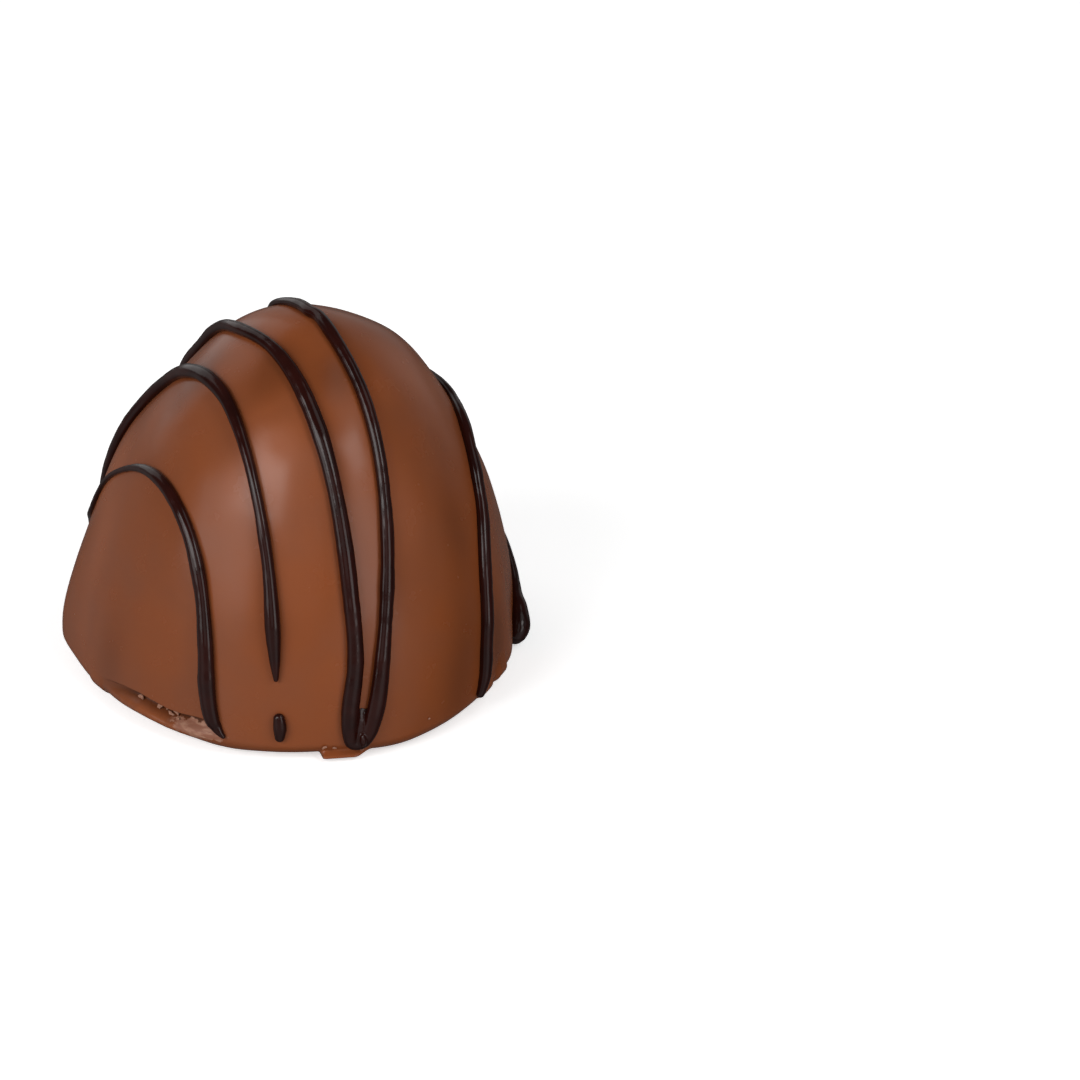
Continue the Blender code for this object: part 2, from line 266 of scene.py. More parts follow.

# Crumbs of broken chocolate: bearing in degrees, height, length, breadth, tilt in degrees, and
# bend as a share of half the length.
CRUMBS = (
    (-131.8, 2.50 * MM, 0.62 * MM, 0.30 * MM, -12.0, 0.20),
    (-125.2, 2.38 * MM, 0.46 * MM, 0.36 * MM, 40.0, 0.10),
    (-122.2, 2.42 * MM, 0.62 * MM, 0.28 * MM, 18.0, 0.45),
    (-119.6, 2.38 * MM, 0.74 * MM, 0.30 * MM, -42.0, 0.40),
    (-121.2, 2.12 * MM, 0.50 * MM, 0.24 * MM, -25.0, -0.35),
    (-118.2, 2.05 * MM, 0.34 * MM, 0.24 * MM, -60.0, 0.10),
    (-80.0, 1.50 * MM, 0.40 * MM, 0.20 * MM, 30.0, 0.30),
    (-77.6, 1.40 * MM, 0.30 * MM, 0.16 * MM, -20.0, 0.10),
    (-54.6, 2.34 * MM, 0.20 * MM, 0.14 * MM, 10.0, 0.10),
)
CRUMB_OUT = 0.80  # how far a crumb's middle stands out of the coat, as a share of its breadth
CRUMB_FLATNESS = 0.70  # its thickness, as a share of its breadth
CRUMB_RAGGED = 0.55
CRUMB_LUMPS = ((1.6, 1.0), (4.0, 0.5))  # how close its lumps are, and their share
CRUMB_SEED_GAP = 7.0
CRUMB_DETAIL = 4

# The pale scraped patch of the lip: bearing in degrees and height of its middle, half its
# length and height, how ragged its edge is, where that edge starts and ends.
SCRAPE = (-111.5, 1.80 * MM, 2.4 * MM, 0.66 * MM, 0.90)
SCRAPE_EDGE = (0.80, 1.10)
STREAK_STRETCH = (0.45, 0.45, 1.6)  # its streaks run level

# Shares of the clouds, the mottle and the side's painted sheen in the blend from the cool tone to
# the warm.
CLOUD_SHARE, MOTTLE_SHARE, PAINTED_SHEEN_SHARE = 0.45, 0.15, 0.40
# How far the fine unevenness of each finish stands out, in mm: the coat's skin, waves and pits,
# the drizzle's skin, the grit of broken chocolate.
SKIN, WAVES, PITS = 0.0020, 0.008, 0.004
DRIZZLE_SKIN = 0.004
GRIT = 0.02
SHEEN_SWING = 0.06  # how much the roughness of a set finish varies
SCRAPE_DULL = 0.25  # how much rougher the coat is where it is scraped
DRIZZLE_DEEP_SHARE = 0.60  # the drizzle's deeper tone, as a share of its colour
FIBRE_SHARE = 0.99  # the same for the card of the floor

# Softboxes: name, azimuth and elevation in degrees, width and height in metres.
SOFTBOX_DISTANCE = 0.6
SOFTBOXES = (
    ("left", -41, 33, 0.36, 0.24),
    ("low", -57, 13, 0.36, 0.26),
    ("right", 48, 41, 0.20, 0.20),
    ("right_low", 40, 13, 0.26, 0.32),
    ("front", -6, 26, 0.34, 0.50),
    ("rear", -136, 30, 0.50, 0.50),
    ("side", 76, 26, 0.26, 0.40),
    ("crown", 75, 58, 0.30, 0.30),
)
# The room, by direction, each as where a ramp starts and ends: the wall towards the back and
# at its top, the table at its far edge and towards the front and the left.
WALL_BACK, WALL_TOP = (0.3, 0.8), (0.35, 0.65)
TABLE_EDGE, TABLE_FRONT, TABLE_LEFT = (-0.12, 0.08), (-0.70, -0.15), (-0.95, -0.50)
TABLE_LEFT_SHARE = 0.6
# Lit patches of the table: azimuth and elevation in degrees, brightness as a share.
BOUNCES = ((32, -9, 1.0), (-50, -9, 0.3))
BOUNCE_EDGE = (0.90, 0.99)
FLOOR_HALF = 3.0

CAMERA_ELEVATION = math.radians(27)
CAMERA_DISTANCE = 304.0 * MM
CAMERA_RIGHT = 20.7 * MM  # the truffle stands to the left of the middle of the view
CAMERA_UP = 8.93 * MM
CAMERA_CLIP = (1.0 * MM, 10.0)


# --- The dome -------------------------------------------------------------------------------


def plain_dome(bearing, reach):
    """Points of the dome without swells; reach is 0 at the crown, 1 at the waist."""
    side_power = SIDE_POWER + SIDE_POWER_SWING * np.cos(bearing)
    angle = np.minimum(reach, 1.0) * math.pi / 2
    undercut = np.clip((reach - 1) / (FOOT_REACH - 1), 0.0, 1.0) * math.pi / 2
    crown_radius = WAIST_RADIUS * np.sin(angle) ** (2 / side_power)
    rise = np.maximum(np.cos(angle), 0.0) ** (2 / CROWN_POWER)
    radius = np.where(
        reach <= 1, crown_radius, FOOT_RADIUS + (WAIST_RADIUS - FOOT_RADIUS) * np.cos(undercut)
    )
    height = np.where(
        reach <= 1,
        WAIST_HEIGHT + (HEIGHT - WAIST_HEIGHT) * rise,
        WAIST_HEIGHT * (1 - np.sin(undercut)),
    )
    radius = radius * (
        1
        + OVAL_SHARE * np.cos(2 * (bearing - OVAL_BEARING))
        + TRIANGLE_SHARE * np.cos(3 * (bearing - TRIANGLE_BEARING))
    )
    lean = height / HEIGHT
    return np.stack(
        [
            radius * np.cos(bearing) + LEAN[0] * lean,
            radius * np.sin(bearing) + LEAN[1] * lean,
            height,
        ],
        axis=-1,
    )


def unit(vectors):
    """The vectors, each one unit long."""
    return vectors / np.linalg.norm(vectors, axis=-1, keepdims=True)


def foot_fade(height):
    """0 at the table, 1 above the foot, so that unevenness leaves the foot flat."""
    return np.clip(height / (FOOT_FADE_SHARE * WAIST_HEIGHT), 0.0, 1.0)


def dome(right, back):
    """Points of the dome from their places on its map, before it is stood on the origin."""
    points = plain_dome(np.arctan2(back, right), np.hypot(right, back))
    swell = np.zeros_like(right)
    for at_right, at_back, spread, height in SWELLS:
        square = (right - at_right) ** 2 + (back - at_back) ** 2
        swell = swell + height * np.exp(-square / spread**2)
    swell = swell * foot_fade(points[..., 2])
    return points + unit(points - np.array(CORE)) * swell[..., None]


def dome_normal(right, back):
    """Outward normals of the dome at places on its map."""
    along_x = dome(right + MAP_STEP, back) - dome(right - MAP_STEP, back)
    along_y = dome(right, back + MAP_STEP) - dome(right, back - MAP_STEP)
    return unit(np.cross(along_x, along_y))


def frame_shift():
    """How far the frame was moved to stand on the origin."""
    bearings = 2 * np.pi * np.arange(FRAME_BEARINGS) / FRAME_BEARINGS
    reach, bearing = np.meshgrid([0.0, *FRAME_REACHES], bearings, indexing="ij")
    corners = dome(reach * np.cos(bearing), reach * np.sin(bearing)).reshape(-1, 3)
    return np.array(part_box("truffle_body")[0]) - corners.min(axis=0)


SHIFT = frame_shift()


def ripple(points):
    """Slow unevenness of the set coat, outward."""
    total = np.zeros(len(points))
    for length, height in RIPPLES:
        scaled = points / length
        total += height * np.array([noise.noise(Vector(place)) for place in scaled])
    return total


def smooth_step(value, low, high):
    """0 below low, 1 above high, smooth between."""
    share = np.clip((value - low) / (high - low), 0.0, 1.0)
    return share * share * (3 - 2 * share)


def crease_at(bearing, height):
    """The crease's depth at the bearing, and how far below the crease the height is."""
    degrees = np.degrees(bearing)
    bearings, heights, depths = np.array(CREASE).T
    depth = np.interp(degrees, bearings, depths, left=0.0, right=0.0)
    return depth, np.interp(degrees, bearings, heights) - height


def below_crease(drop, edge, fade):
    """1 just below the crease, 0 above it, fading out further down."""
    return smooth_step(drop, -CREASE_EDGE, edge) * np.exp(-((np.maximum(drop, 0.0) / fade) ** 4))


def along_lip(drop, middle):
    """1 this far below the crease, 0 a lip's width away from there."""
    return np.exp(-(((drop - middle) / LIP_WIDTH) ** 2))


def foot_relief(bearing, height, depth_share):
    """How far the broken foot stands out or in, level with the table."""
    depth, drop = crease_at(bearing, height)
    groove = below_crease(drop, CREASE_EDGE, CREASE_FADE)
    out = depth * depth_share * (LIP_SHARE * along_lip(drop, LIP_DROP) - groove)
    degrees = np.degrees(bearing)
    for start, end, start_soft, end_soft, reach, top in EDGE_BITS:
        window = smooth_step(degrees, start - start_soft / 2, start + start_soft / 2)
        window = window * (1 - smooth_step(degrees, end - end_soft / 2, end + end_soft / 2))
        out = out + reach * window * (1 - smooth_step(height, top * BIT_FULL_SHARE, top))
    return out


def foot_marks(bearing, height):
    """The crease's painted shade and the painted light through the thin lip below it, each 1 at
    its strongest.
    """
    depth, drop = crease_at(bearing, height)
    strength = np.minimum(depth / FULL_DEPTH, 1.0)
    hollow = below_crease(drop, 2 * CREASE_EDGE, CREASE_SHADE_FADE)
    return hollow * strength, along_lip(drop, LIP_LIT) * strength


def coat_points(right, back, ripple_share=1.0, depth_share=1.0):
    """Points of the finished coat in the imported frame, and their outward normals."""
    points = dome(right, back)
    normals = dome_normal(right, back)
    bearing = np.arctan2(back, right)
    uneven = ripple(points) * ripple_share * foot_fade(points[..., 2])
    moved = points + normals * uneven[..., None]
    level = np.stack([np.cos(bearing), np.sin(bearing), np.zeros_like(bearing)], axis=-1)
    moved = moved + level * foot_relief(bearing, points[..., 2], depth_share)[..., None]
    return moved + SHIFT, normals


def foot_place(bearing, height):
    """The coat's point at a bearing in degrees and a height near the foot, and its normal."""
    angle = math.radians(bearing)
    reaches = np.linspace(*FOOT_SEARCH)
    points, normals = coat_points(reaches * math.cos(angle), reaches * math.sin(angle))
    nearest = int(np.abs(points[:, 2] - height).argmin())
    return Vector(points[nearest]), Vector(normals[nearest])


# --- Meshes ---------------------------------------------------------------------------------


def place_in_scene(name, data):
    """An object of this name in the scene, with a mesh, a light or a camera as its data."""
    obj = bpy.data.objects.new(name, data)
    bpy.context.scene.collection.objects.link(obj)
    return obj


def add_smooth(name, mesh, material):
    """A smooth-shaded object with this mesh and material."""
    mesh.materials.append(material)
    mesh.shade_smooth()
    return place_in_scene(name, mesh)


def add_object(name, points, faces, material):
    """A smooth-shaded object from its points and faces."""
    mesh = bpy.data.meshes.new(name)
    mesh.from_pydata([tuple(point) for point in points], [], faces)
    mesh.validate()
    return add_smooth(name, mesh, material)


def ring_faces(start_a, start_b, count):
    """The faces between two rings of points that start at these indices."""
    return [
        (start_a + i, start_a + (i + 1) % count, start_b + (i + 1) % count, start_b + i)
        for i in range(count)
    ]


def coat_grid():
    """Bearings and reaches of the coat's rings, closest together where the foot is broken."""
    first, last = FRONT_BEARINGS
    front = np.arange(first, last, FRONT_STEP)
    rest = np.arange(last, first + 360.0, REST_STEP)
    bearings = np.radians(np.concatenate([front, rest]))
    crown = FLANK_REACH * (np.arange(CROWN_RINGS) + 1) / CROWN_RINGS
    flank = FLANK_REACH + (1 - FLANK_REACH) * (np.arange(FLANK_RINGS) + 1) / FLANK_RINGS
    under = 1 + (FOOT_REACH - 1) * (np.arange(UNDERCUT_RINGS) + 1) / UNDERCUT_RINGS
    return bearings, np.concatenate([crown, flank, under])


def make_coat(material, settings):
    """The whole coat as one closed mesh: crown, flank, broken foot and flat underside."""
    bearings, reaches = coat_grid()
    reach, bearing = np.meshgrid(reaches, bearings, indexing="ij")
    right = np.concatenate([[0.0], (reach * np.cos(bearing)).ravel()])
    back = np.concatenate([[0.0], (reach * np.sin(bearing)).ravel()])
    points, _ = coat_points(right, back, settings.ripple, settings.crease)
    count = len(bearings)
    faces = [(0, 1 + i, 1 + (i + 1) % count) for i in range(count)]
    for row in range(len(reaches) - 1):
        faces.extend(ring_faces(1 + (row + 1) * count, 1 + row * count, count))
    foot_start = 1 + (len(reaches) - 1) * count
    middle = points[foot_start : foot_start + count].mean(axis=0)
    points = np.vstack([points, middle])
    last = len(points) - 1
    faces.extend((foot_start + (i + 1) % count, foot_start + i, last) for i in range(count))
    coat = add_object("milk_coat", points, faces, material)
    coat.data.set_sharp_from_angle(angle=SHARP_ANGLE)
    # Painted shade in the crease and painted light through the lip.
    around = np.append(np.arctan2(back, right), 0.0)
    hollow, lip = foot_marks(around, points[:, 2] - SHIFT[2])
    # Patches of painted highlight and painted shade.
    tone = sum(
        amount * np.exp(-((right - at_right) ** 2 + (back - at_back) ** 2) / spread**2)
        for at_right, at_back, spread, amount in PAINTED_LIGHT_PATCHES
    )
    marks = {CREASE_SHADE: hollow, LIP: lip, PAINTED_LIGHT_MARK: np.append(tone, 0.0)}
    for name, values in marks.items():
        coat.data.attributes.new(name, "FLOAT", "POINT").data.foreach_set("value", values)
    return coat


def smooth_route(route):
    """A smooth curve through a route's knots, with the curve's places, widths and heights."""
    knots = np.array(route)
    gaps = np.hypot(*np.diff(knots[:, :2], axis=0).T)[:, None]
    slopes = np.diff(knots, axis=0) / gaps
    leads = np.empty_like(knots)
    leads[1:-1] = (slopes[:-1] * gaps[1:] + slopes[1:] * gaps[:-1]) / (gaps[:-1] + gaps[1:])
    leads[0] = (3 * slopes[0] - leads[1]) / 2
    leads[-1] = (3 * slopes[-1] - leads[-2]) / 2
    share = (np.arange(ROUTE_SHARES) / ROUTE_SHARES)[:, None]
    rise = share * share * (3 - 2 * share)
    curve = [
        knots[k]
        + (knots[k + 1] - knots[k]) * rise
        + gaps[k] * share * (1 - share) * (leads[k] * (1 - share) - leads[k + 1] * share)
        for k in range(len(gaps))
    ]
    return np.concatenate([*curve, knots[-1:]])


def even_places(route):
    """Places, widths and heights along a route, a strand's step apart, and the run to each."""
    fine = smooth_route(route)
    points = dome(fine[:, 0], fine[:, 1])
    gone = np.concatenate([[0.0], np.cumsum(np.linalg.norm(np.diff(points, axis=0), axis=1))])
    count = max(int(gone[-1] / STRAND_STEP), 2)
    wanted = np.linspace(0.0, gone[-1], count + 1)
    return np.stack([np.interp(wanted, gone, fine[:, k]) for k in range(4)], axis=1), wanted


def wobble(gone, seed):
    """Unevenness of a strand's width along its run, as a factor."""
    factor = np.ones_like(gone)
    for length, share in WOBBLE:
        factor += share * np.array(
            [noise.noise(Vector((place / length, seed, length / MM))) * 2 for place in gone]
        )
    return factor


def strand_rings(route, seed, thickness_share):
    """The rings of a strand from tip to tip, as an array of rings of points."""
    places, gone = even_places(route)
    surface, normals = coat_points(places[:, 0], places[:, 1])
    uneven = wobble(gone, seed)
    half = places[:, 2] * MM / 2 * uneven
    height = places[:, 3] * MM * uneven * thickness_share
    flatness = np.clip((2 * half / height - 1) / (FLAT_RATIO - 1), 0.0, 1.0)
    rise = height * (ROUND_HALF + FLAT_HALF_MORE * flatness)
    centres = surface + normals * (height - rise)[:, None]
    along = unit(np.gradient(centres, axis=0))
    across = unit(np.cross(along, normals))
    outward = np.cross(across, along)
    angles = 2 * np.pi * np.arange(STRAND_SIDES) / STRAND_SIDES
    rings = []

    def ring(index, shift, share):
        offset = across[index] * (half[index] * share * np.cos(angles))[:, None]
        offset = offset + outward[index] * (rise[index] * share * np.sin(angles))[:, None]
        return centres[index] + along[index] * shift + offset

    tip = [math.pi / 2 * (k + 1) / TIP_RINGS for k in range(TIP_RINGS)]
    for angle in reversed(tip):
        rings.append(ring(0, -half[0] * math.sin(angle), max(math.cos(angle), TIP_END)))
    rings.extend(ring(i, 0.0, 1.0) for i in range(len(places)))
    for angle in tip:
        rings.append(ring(-1, half[-1] * math.sin(angle), max(math.cos(angle), TIP_END)))
    return np.array(rings)


def tube_mesh(rings):
    """Points and faces of a closed tube through the rings."""
    count = rings.shape[1]
    points = rings.reshape(-1, 3)
    faces = []
    for row in range(len(rings) - 1):
        faces.extend(ring_faces((row + 1) * count, row * count, count))
    faces.append(tuple(range(count)))
    faces.append(tuple(reversed(range((len(rings) - 1) * count, len(rings) * count))))
    return points, faces


def fuse(obj):
    """Melts overlapping parts of a mesh into one skin, then lets it settle."""
    obj.data.transform(Matrix.Scale(1 / MM, 4))
    remesh = obj.modifiers.new("melt", "REMESH")
    remesh.mode = "VOXEL"
    remesh.voxel_size = FUSE_VOXEL
    remesh.use_smooth_shade = True
    settle = obj.modifiers.new("settle", "SMOOTH")
    settle.factor = 0.5
    settle.iterations = FUSE_SMOOTHING
    graph = bpy.context.evaluated_depsgraph_get()
    mesh = bpy.data.meshes.new_from_object(obj.evaluated_get(graph))
    obj.modifiers.clear()
    old = obj.data
    obj.data = mesh
    bpy.data.meshes.remove(old)
    obj.data.transform(Matrix.Scale(MM, 4))
    obj.data.shade_smooth()


def make_strand(name, routes, seed, fused, material, thickness_share):
    """One strand: a tube along each route, and fused if the tubes touch."""
    points, faces = [], []
    for route in routes:
        start = len(points)
        more_points, more_faces = tube_mesh(strand_rings(route, seed, thickness_share))
        points.extend(more_points)
        faces.extend(tuple(start + corner for corner in face) for face in more_faces)
    strand = add_object("fine_" + name, points, faces, material)
    if fused:
        fuse(strand)
    return strand


def make_crumbs(material):
    """Small broken flakes lying in the crease of the foot and at its edge."""
    builder = bmesh.new()
    for seed, (bearing, height, length, breadth, tilt, bend) in enumerate(CRUMBS):
        angle = math.radians(bearing)
        centre, normal = foot_place(bearing, height)
        level = Vector((-math.sin(angle), math.cos(angle), 0.0))
        level.rotate(Quaternion(normal, math.radians(tilt)))
        up = normal.cross(level)
        start = Vector((seed * CRUMB_SEED_GAP, 0, 0))
        ball = bmesh.ops.create_icosphere(builder, subdivisions=CRUMB_DETAIL, radius=1.0)
        for vertex in ball["verts"]:
            place = vertex.co.copy()
            rough = sum(share * noise.noise(place * often + start) for often, share in CRUMB_LUMPS)
            place *= 1 + CRUMB_RAGGED * rough
            along, over = place.x * length / 2, place.y * breadth / 2
            over += bend * length / 2 * (0.5 - place.x**2)
            out = (CRUMB_OUT + place.z * CRUMB_FLATNESS / 2) * breadth
            vertex.co = centre + level * along + up * over + normal * out
    mesh = bpy.data.meshes.new("foot_crumbs")
    builder.to_mesh(mesh)
    builder.free()
    return add_smooth("foot_crumbs", mesh, material)


# --- Materials ------------------------------------------------------------------------------


class Wire:
    """One output of a recipe's node, used in plain arithmetic."""

    def __init__(self, recipe, socket):
        self.recipe = recipe
        self.socket = socket

    def _math(self, operation, first, second):
        return self.recipe.node(
            "ShaderNodeMath", {"operation": operation}, {0: first, 1: second}
        )

    def __add__(self, other):
        return self._math("ADD", self, other)

    __radd__ = __add__

    def __sub__(self, other):
        return self._math("SUBTRACT", self, other)

    def __rsub__(self, other):
        return self._math("SUBTRACT", other, self)

    def __mul__(self, other):
        return self._math("MULTIPLY", self, other)

    __rmul__ = __mul__


class Recipe:
    """The nodes of one material, or of the room."""

    def __init__(self, owner):
        self.owner = owner
        owner.use_nodes = True
        self.tree = owner.node_tree
        self.tree.nodes.clear()

    def node(self, kind, settings=None, sockets=None, output=0):
        """A node with its settings, then its sockets' values or links; gives one output."""
        made = self.tree.nodes.new(kind)
        for key, value in (settings or {}).items():
            setattr(made, key, value)
        for key, value in (sockets or {}).items():
            socket = made.inputs[key]
            if isinstance(value, Wire):
                self.tree.links.new(value.socket, socket)
            else:
                socket.default_value = value
        return Wire(self, made.outputs[output]) if len(made.outputs) else made

    def ramp(self, value, low, high):
        """0 below low, 1 above high, smooth between."""
        return self.node(
            "ShaderNodeMapRange",
            {"interpolation_type": "SMOOTHSTEP"},
            {"Value": value, "From Min": low, "From Max": high, "To Min": 0.0, "To Max": 1.0},
        )

    def vector(self, operation, *values, output=0):
        """Vector maths on one or two vectors."""
        return self.node(
            "ShaderNodeVectorMath", {"operation": operation}, dict(enumerate(values)), output
        )

    def mix(self, share, first, second):
        """A blend of two colours."""
        return self.node(
            "ShaderNodeMix", {"data_type": "RGBA"}, {0: share, 6: first, 7: second}, output=2
        )

    def place(self):
        """Where the point is on its object, in metres."""
        return self.node("ShaderNodeTexCoord", output="Object")

    def part(self, place, axis):
        """One part of a vector: 0 is to the right, 1 to the back, 2 up."""
        return self.node("ShaderNodeSeparateXYZ", None, {0: place}, output=axis)

    def mark(self, name):
        """A mark on the mesh."""
        return self.node(
            "ShaderNodeAttribute",
            {"attribute_type": "GEOMETRY", "attribute_name": name},
            output="Fac",
        )

    def noise(self, place, length, detail=2.0, rough=0.5):
        """Cloudy noise whose lumps are about this length across, from 0 to 1."""
        return self.node(
            "ShaderNodeTexNoise",
            {"noise_dimensions": "3D"},
            {"Vector": place, "Scale": 1 / length, "Detail": detail, "Roughness": rough},
            output="Fac",
        )

    def cells(self, place, length):
        """Distance to the nearest of scattered points about this length apart."""
        return self.node(
            "ShaderNodeTexVoronoi",
            {"feature": "F1"},
            {"Vector": place, "Scale": 1 / length},
            output="Distance",
        )

    def finish(self, shader_sockets, height=None):
        """The surface itself; height is in mm."""
        if height is not None:
            shader_sockets["Normal"] = self.node(
                "ShaderNodeBump", None, {"Strength": 1.0, "Distance": MM, "Height": height}
            )
        shader = self.node("ShaderNodeBsdfPrincipled", None, shader_sockets)
        self.node("ShaderNodeOutputMaterial", None, {"Surface": shader})
        return self.owner


def colour(rgb, share=1.0):
    """A colour socket's value, at a share of the colour."""
    return (*(part * share for part in rgb), 1.0)


def scraped_patch(recipe, place):
    """1 on the scraped patch of the lip, 0 elsewhere, with a ragged edge."""
    bearing, height, half_length, half_height, ragged = SCRAPE
    middle, _ = foot_place(bearing, height)
    offset = recipe.vector("SUBTRACT", place, middle)
    squeezed = recipe.vector("DIVIDE", offset, (half_length, half_length, half_height))
    gone = recipe.vector("LENGTH", squeezed, output="Value")
    tear = recipe.noise(place, 0.7 * MM, detail=3.0, rough=0.6)
    return 1 - recipe.ramp(gone + (tear - 0.5) * (ragged * 2), *SCRAPE_EDGE)


def milk_chocolate(settings):
    """Satin milk chocolate: clouds of tone, painted sheen, highlights and shade, a faint skin and
    a few air pits.
    """
    recipe = Recipe(bpy.data.materials.new("milk_chocolate_satin"))
    place = recipe.place()
    clouds = recipe.ramp(recipe.noise(place, 9.0 * MM), low=0.35, high=0.65)
    mottle = recipe.ramp(recipe.noise(place, 2.2 * MM, detail=3.0), low=0.25, high=0.75)
    # Painted sheen: the left side is cooler and greyer, as it mirrors the pale light there.
    side = recipe.ramp(recipe.part(place, 0), *PAINTED_SHEEN_FADE)
    share = clouds * CLOUD_SHARE + mottle * MOTTLE_SHARE + side * PAINTED_SHEEN_SHARE
    tone = recipe.mix(share, colour(settings.cool), colour(settings.warm))
    # Painted highlight where the patch is above 0, painted shade where it is below.
    patch = recipe.mark(PAINTED_LIGHT_MARK)
    tone = recipe.mix(recipe.ramp(patch, 0.0, 1.0), tone, colour(settings.cool, PAINTED_HIGHLIGHT_SHARE))
    tone = recipe.mix(recipe.ramp(patch * -1, 0.0, 1.0), tone, colour(settings.warm, PAINTED_SHADE_SHARE))
    # Painted shade in the crease.
    tone = recipe.mix(recipe.mark(CREASE_SHADE), tone, colour(settings.warm, CREASE_SHADE_SHARE))
    # Painted light where light shines through the thin lip, in noisy patches.
    lip_noise = recipe.noise(place, 0.8 * MM, detail=3.0, rough=0.6)
    lip_patches = recipe.ramp(lip_noise, low=0.35, high=0.60)
    tone = recipe.mix(recipe.mark(LIP) * lip_patches, tone, colour(settings.lip))
    scrape = scraped_patch(recipe, place)
    stretched = recipe.vector("MULTIPLY", place, STREAK_STRETCH)
    streaks = recipe.noise(stretched, 0.55 * MM, detail=3.0, rough=0.6)
    share = recipe.ramp(streaks, low=0.42, high=0.68)
    scraped = recipe.mix(share, colour(settings.scraped), colour(settings.chipped))
    tone = recipe.mix(scrape, tone, scraped)
    skin = recipe.noise(place, 0.40 * MM)
    waves = recipe.noise(place, 2.4 * MM, detail=1.0)
    pits = 1 - recipe.ramp(recipe.cells(place, 2.6 * MM), low=0.015, high=0.040)
    return recipe.finish(
        {
            "Base Color": tone,
            "Roughness": settings.roughness
            + (mottle - 0.5) * SHEEN_SWING
            + scrape * SCRAPE_DULL,
            "IOR": 1.46,
            "Specular IOR Level": settings.gloss,
            "Subsurface Weight": 0.05,
            "Subsurface Radius": (0.8, 0.35, 0.2),
            "Subsurface Scale": 0.7 * MM,
        },
        skin * SKIN + waves * WAVES - pits * PITS,
    )


def broken_chocolate(settings):
    """Milk chocolate where it has broken: paler, dry and rough."""
    recipe = Recipe(bpy.data.materials.new("milk_chocolate_broken"))
    place = recipe.place()
    grit = recipe.noise(place, 0.12 * MM, detail=3.0, rough=0.7)
    share = recipe.ramp(grit, low=0.3, high=0.7)
    tone = recipe.mix(share, colour(settings.scraped), colour(settings.chipped))
    return recipe.finish(
        {"Base Color": tone, "Roughness": 0.55 + grit * 0.2, "IOR": 1.46}, grit * GRIT
    )


def dark_chocolate(settings):
    """Glossy dark chocolate with a slightly uneven skin."""
    recipe = Recipe(bpy.data.materials.new("dark_chocolate_gloss"))
    place = recipe.place()
    clouds = recipe.ramp(recipe.noise(place, 2.5 * MM), low=0.3, high=0.7)
    skin = recipe.noise(place, 0.45 * MM)
    deep = colour(settings.colour, DRIZZLE_DEEP_SHARE)
    tone = recipe.mix(clouds, deep, colour(settings.colour))
    return recipe.finish(
        {
            "Base Color": tone,
            "Roughness": settings.roughness + (skin - 0.5) * SHEEN_SWING,
            "IOR": 1.48,
            "Specular IOR Level": settings.gloss,
        },
        skin * DRIZZLE_SKIN,
    )


def floor_finish(settings):
    """Plain pale card."""
    recipe = Recipe(bpy.data.materials.new("pale_card"))
    place = recipe.place()
    fibre = recipe.noise(place, 4.0 * MM)
    tone = recipe.mix(fibre, colour(settings.floor, FIBRE_SHARE), colour(settings.floor))
    return recipe.finish(
        {
            "Base Color": tone,
            "Roughness": 0.9,
            "Specular IOR Level": 0.1,
            "Emission Color": colour((1.0, 1.0, 1.0)),
            "Emission Strength": settings.glow,
        }
    )


# --- Settings, operators and panel ----------------------------------------------------------


class TruffleCoatSettings(bpy.types.PropertyGroup):
    warm: FloatVectorProperty(
        name="Warm tone", description="Redder tone of the milk chocolate", subtype="COLOR",
        size=3, min=0.0, max=1.0, default=(0.252, 0.0643, 0.0172),
    )
    cool: FloatVectorProperty(
        name="Cool tone", description="Greyer tone of the milk chocolate", subtype="COLOR",
        size=3, min=0.0, max=1.0, default=(0.211, 0.0652, 0.0280),
    )
    lip: FloatVectorProperty(
        name="Lip tone", description="The thin lip of the foot, where light shines through",
        subtype="COLOR", size=3, min=0.0, max=1.0, default=(0.300, 0.086, 0.027),
    )
    scraped: FloatVectorProperty(
        name="Scraped tone", description="The coat where it is scraped or broken", subtype="COLOR",
        size=3, min=0.0, max=1.0, default=(0.275, 0.112, 0.068),
    )
    chipped: FloatVectorProperty(
        name="Chipped tone", description="Palest tone of broken chocolate", subtype="COLOR",
        size=3, min=0.0, max=1.0, default=(0.430, 0.225, 0.150),
    )
    roughness: FloatProperty(
        name="Roughness", description="How dull the set coat is", subtype="FACTOR",
        min=0.0, max=1.0, default=0.25,
    )
    gloss: FloatProperty(
        name="Gloss", description="Strength of the coat's reflections", subtype="FACTOR",
        min=0.0, max=1.0, default=0.28,
    )
    ripple: FloatProperty(
        name="Ripple", description="Unevenness of the coat, as a share of the usual",
        min=0.0, max=3.0, default=1.0,
    )
    crease: FloatProperty(
        name="Crease", description="Depth of the crease over the foot's lip, as a share",
        min=0.0, max=2.0, default=1.0,
    )


class TruffleDrizzleSettings(bpy.types.PropertyGroup):
    colour: FloatVectorProperty(
        name="Colour", description="Dark chocolate of the drizzle", subtype="COLOR",
        size=3, min=0.0, max=1.0, default=(0.0230, 0.0036, 0.0022),
    )
    roughness: FloatProperty(
        name="Roughness", description="How dull the drizzle is", subtype="FACTOR",
        min=0.0, max=1.0, default=0.16,
    )
    gloss: FloatProperty(
        name="Gloss", description="Strength of the drizzle's reflections", subtype="FACTOR",
        min=0.0, max=1.0, default=0.27,
    )
    thickness: FloatProperty(
        name="Thickness", description="Thickness of the strands, as a share of the usual",
        min=0.3, max=2.0, default=1.0,
    )


